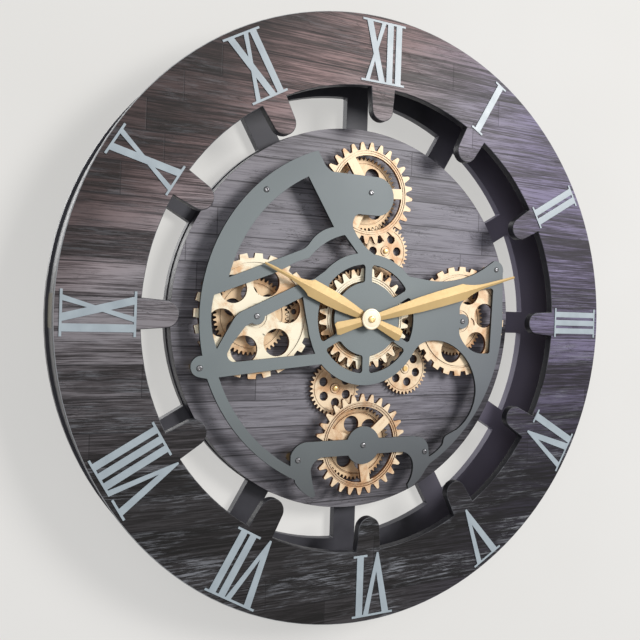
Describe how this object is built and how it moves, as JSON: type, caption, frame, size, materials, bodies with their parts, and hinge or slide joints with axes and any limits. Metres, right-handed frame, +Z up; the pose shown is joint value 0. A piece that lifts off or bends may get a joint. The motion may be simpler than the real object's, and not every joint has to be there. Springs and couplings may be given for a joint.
{
  "type": "wooden gear wall clock",
  "caption": "Round wall clock with a printed wooden ring, raised Roman numerals, open rear frame and a skeleton plate over turning rose-gold gears.",
  "frame": {"origin": "where the axis of the hands meets the plane of the wall behind the clock", "axes": "+X to the right seen from the front, -Y out of the face, +Z up"},
  "size_m": [0.6, 0.0638, 0.5999],
  "materials": {
    "printed_board": "matt plank print",
    "numeral_board": "satin pale lacquer",
    "black_rim": "satin black",
    "raw_board": "raw fibre board",
    "black_board": "matt black",
    "dial_board": "matt black",
    "plate_board": "slate metallic lacquer",
    "gear_board": "rose-gold metallic lacquer",
    "gold_hand": "satin gold",
    "brass": "polished",
    "steel": "zinc plated",
    "black_plastic": "fine grain",
    "cell_wrap": "plain printed sleeve"
  },
  "bodies": {
    "clock_case": {"front_ring": "printed_board", "roman_numerals": "numeral_board", "upper_rim_band": "black_rim", "lower_rim_band": "black_rim", "left_joint_block": "raw_board", "right_joint_block": "raw_board", "rear_frame": "black_board", "hanger_plate": "steel", "hanger_screws": "steel", "dial_drum": "black_board", "frame_screws": "steel", "dial_disc": "dial_board", "gear_plate": "plate_board", "plate_posts": "brass", "gear_axles": "brass", "plate_screws": "steel", "small_gear_pins": "brass", "small_gear_washers": "brass", "movement_case": "black_plastic", "threaded_stem": "brass", "movement_nut": "brass", "movement_cell": "cell_wrap", "gear_motor": "black_plastic", "motor_screws": "steel", "battery_box": "black_plastic", "drive_cells": "cell_wrap", "switch_body": "black_plastic"},
    "centre_gears": {"centre_fine_gear": "gear_board", "centre_show_gear": "gear_board", "centre_gear_bush": "gear_board"},
    "top_gears": {"top_fine_gear": "gear_board", "top_show_gear": "gear_board", "top_gear_bush": "gear_board"},
    "bottom_gears": {"bottom_fine_gear": "gear_board", "bottom_show_gear": "gear_board", "bottom_gear_bush": "gear_board"},
    "left_gears": {"left_fine_gear": "gear_board", "left_show_gear": "gear_board", "left_gear_bush": "gear_board"},
    "right_gears": {"right_fine_gear": "gear_board", "right_show_gear": "gear_board", "right_gear_bush": "gear_board"},
    "upper_idler": {"upper_small_gear": "gear_board"},
    "lower_idler": {"lower_small_gear": "gear_board"},
    "left_idler": {"left_pinion": "gear_board"},
    "right_idler": {"right_pinion": "gear_board"},
    "drive_wheel": {"drive_gear": "gear_board", "motor_shaft": "brass"},
    "hour_wheel": {"hour_pipe": "black_plastic", "hour_hand": "gold_hand"},
    "minute_wheel": {"minute_arbor": "brass", "minute_hand": "gold_hand", "hand_cap": "gold_hand", "cap_nut": "brass"},
    "time_knob": {"setting_knob": "black_plastic"},
    "battery_lid": {"battery_cover": "black_plastic"},
    "gear_switch": {"switch_lever": "black_plastic"}
  },
  "joints": [
    {"name": "centre_gears_turn", "type": "hinge", "parent": "clock_case", "child": "centre_gears", "pos_m": [0, -0.03, 0], "axis": [0, 1, 0], "continuous": true},
    {"name": "top_gears_turn", "type": "hinge", "parent": "clock_case", "child": "top_gears", "pos_m": [0, -0.03, 0.12812], "axis": [0, 1, 0], "continuous": true},
    {"name": "bottom_gears_turn", "type": "hinge", "parent": "clock_case", "child": "bottom_gears", "pos_m": [0, -0.03, -0.12812], "axis": [0, 1, 0], "continuous": true},
    {"name": "left_gears_turn", "type": "hinge", "parent": "clock_case", "child": "left_gears", "pos_m": [-0.1185, -0.03, 0], "axis": [0, 1, 0], "continuous": true},
    {"name": "right_gears_turn", "type": "hinge", "parent": "clock_case", "child": "right_gears", "pos_m": [0.1185, -0.03, 0], "axis": [0, 1, 0], "continuous": true},
    {"name": "upper_idler_turn", "type": "hinge", "parent": "clock_case", "child": "upper_idler", "pos_m": [0.02679, -0.03, 0.0712], "axis": [0, 1, 0], "continuous": true},
    {"name": "lower_idler_turn", "type": "hinge", "parent": "clock_case", "child": "lower_idler", "pos_m": [-0.02679, -0.03, -0.0712], "axis": [0, 1, 0], "continuous": true},
    {"name": "left_idler_turn", "type": "hinge", "parent": "clock_case", "child": "left_idler", "pos_m": [-0.06584, -0.03, 0], "axis": [0, 1, 0], "continuous": true},
    {"name": "right_idler_turn", "type": "hinge", "parent": "clock_case", "child": "right_idler", "pos_m": [0.06584, -0.03, 0], "axis": [0, 1, 0], "continuous": true},
    {"name": "drive_wheel_turn", "type": "hinge", "parent": "clock_case", "child": "drive_wheel", "pos_m": [0.05564, -0.03, -0.05188], "axis": [0, 1, 0], "continuous": true},
    {"name": "minute_hand_turn", "type": "hinge", "parent": "clock_case", "child": "minute_wheel", "pos_m": [0, -0.05, 0], "axis": [0, 1, 0], "continuous": true},
    {"name": "hour_hand_turn", "type": "hinge", "parent": "clock_case", "child": "hour_wheel", "pos_m": [0, -0.05, 0], "axis": [0, 1, 0], "continuous": true},
    {"name": "setting_knob_turn", "type": "hinge", "parent": "clock_case", "child": "time_knob", "pos_m": [0, -0.004, 0.014], "axis": [0, 1, 0], "continuous": true},
    {"name": "battery_cover_lift", "type": "slide", "parent": "clock_case", "child": "battery_lid", "axis": [0, 1, 0], "range_m": [0, 0.02]},
    {"name": "gear_switch_slide", "type": "slide", "parent": "clock_case", "child": "gear_switch", "axis": [1, 0, 0], "range_m": [0, 0.004]}
  ],
  "couplings": [
    {"joint": "upper_idler_turn", "follows": "centre_gears_turn", "ratio": -1.8889},
    {"joint": "lower_idler_turn", "follows": "centre_gears_turn", "ratio": -1.8889},
    {"joint": "drive_wheel_turn", "follows": "centre_gears_turn", "ratio": -1.8889},
    {"joint": "left_idler_turn", "follows": "centre_gears_turn", "ratio": -3.0909},
    {"joint": "right_idler_turn", "follows": "centre_gears_turn", "ratio": -3.0909},
    {"joint": "top_gears_turn", "follows": "centre_gears_turn", "ratio": 1.36},
    {"joint": "bottom_gears_turn", "follows": "centre_gears_turn", "ratio": 1.36},
    {"joint": "left_gears_turn", "follows": "centre_gears_turn", "ratio": 1.36},
    {"joint": "right_gears_turn", "follows": "centre_gears_turn", "ratio": 1.36},
    {"joint": "hour_hand_turn", "follows": "minute_hand_turn", "ratio": 0.083333},
    {"joint": "setting_knob_turn", "follows": "minute_hand_turn", "ratio": -3}
  ]
}
